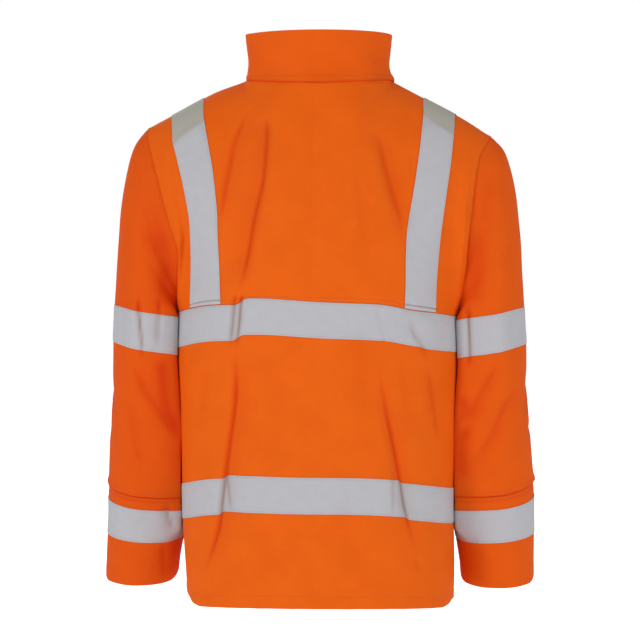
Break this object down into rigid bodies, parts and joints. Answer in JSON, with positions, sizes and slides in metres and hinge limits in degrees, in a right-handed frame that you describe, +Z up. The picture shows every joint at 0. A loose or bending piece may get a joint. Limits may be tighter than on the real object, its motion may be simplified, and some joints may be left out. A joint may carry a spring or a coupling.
{
  "type": "hi-vis work jacket",
  "caption": "Bright orange waterproof work jacket with a tall stand collar, a back yoke flap, and reflective tape round the body and sleeves and over the shoulders, shown as worn.",
  "frame": {"origin": "middle of the neck, level with the top of the back, where the wearer's neck and shoulders hold the jacket", "axes": "+Z up, -Y out of the front, +X towards the wearer's left"},
  "size_m": [0.6086, 0.2938, 0.7934],
  "materials": {
    "cloth": "coated, satin",
    "reflective_tape": "retroreflective, satin",
    "zip_fabric": "woven",
    "zip_teeth": "moulded, satin",
    "zip_metal": "brushed"
  },
  "bodies": {
    "jacket": {"back": "cloth", "back_yoke": "cloth", "front_left": "cloth", "front_right": "cloth", "collar": "cloth", "sleeve_left": "cloth", "sleeve_right": "cloth", "cuff_left": "cloth", "cuff_right": "cloth", "chest_tape_back": "reflective_tape", "chest_tape_front_left": "reflective_tape", "chest_tape_front_right": "reflective_tape", "waist_tape_back": "reflective_tape", "waist_tape_front_left": "reflective_tape", "waist_tape_front_right": "reflective_tape", "brace_left": "reflective_tape", "brace_right": "reflective_tape", "arm_tape_left": "reflective_tape", "arm_tape_right": "reflective_tape", "cuff_tape_left": "reflective_tape", "cuff_tape_right": "reflective_tape", "zip_tape_left": "zip_fabric", "zip_tape_right": "zip_fabric", "zip_chain": "zip_teeth", "zip_slider": "zip_metal"},
    "pull_tab": {"zip_pull": "zip_metal"}
  },
  "joints": [
    {"name": "pull_tab_hinge", "type": "hinge", "parent": "jacket", "child": "pull_tab", "pos_m": [0, -0.10022, 0.02084], "axis": [-1, 0, 0], "range_deg": [0, 165]}
  ]
}
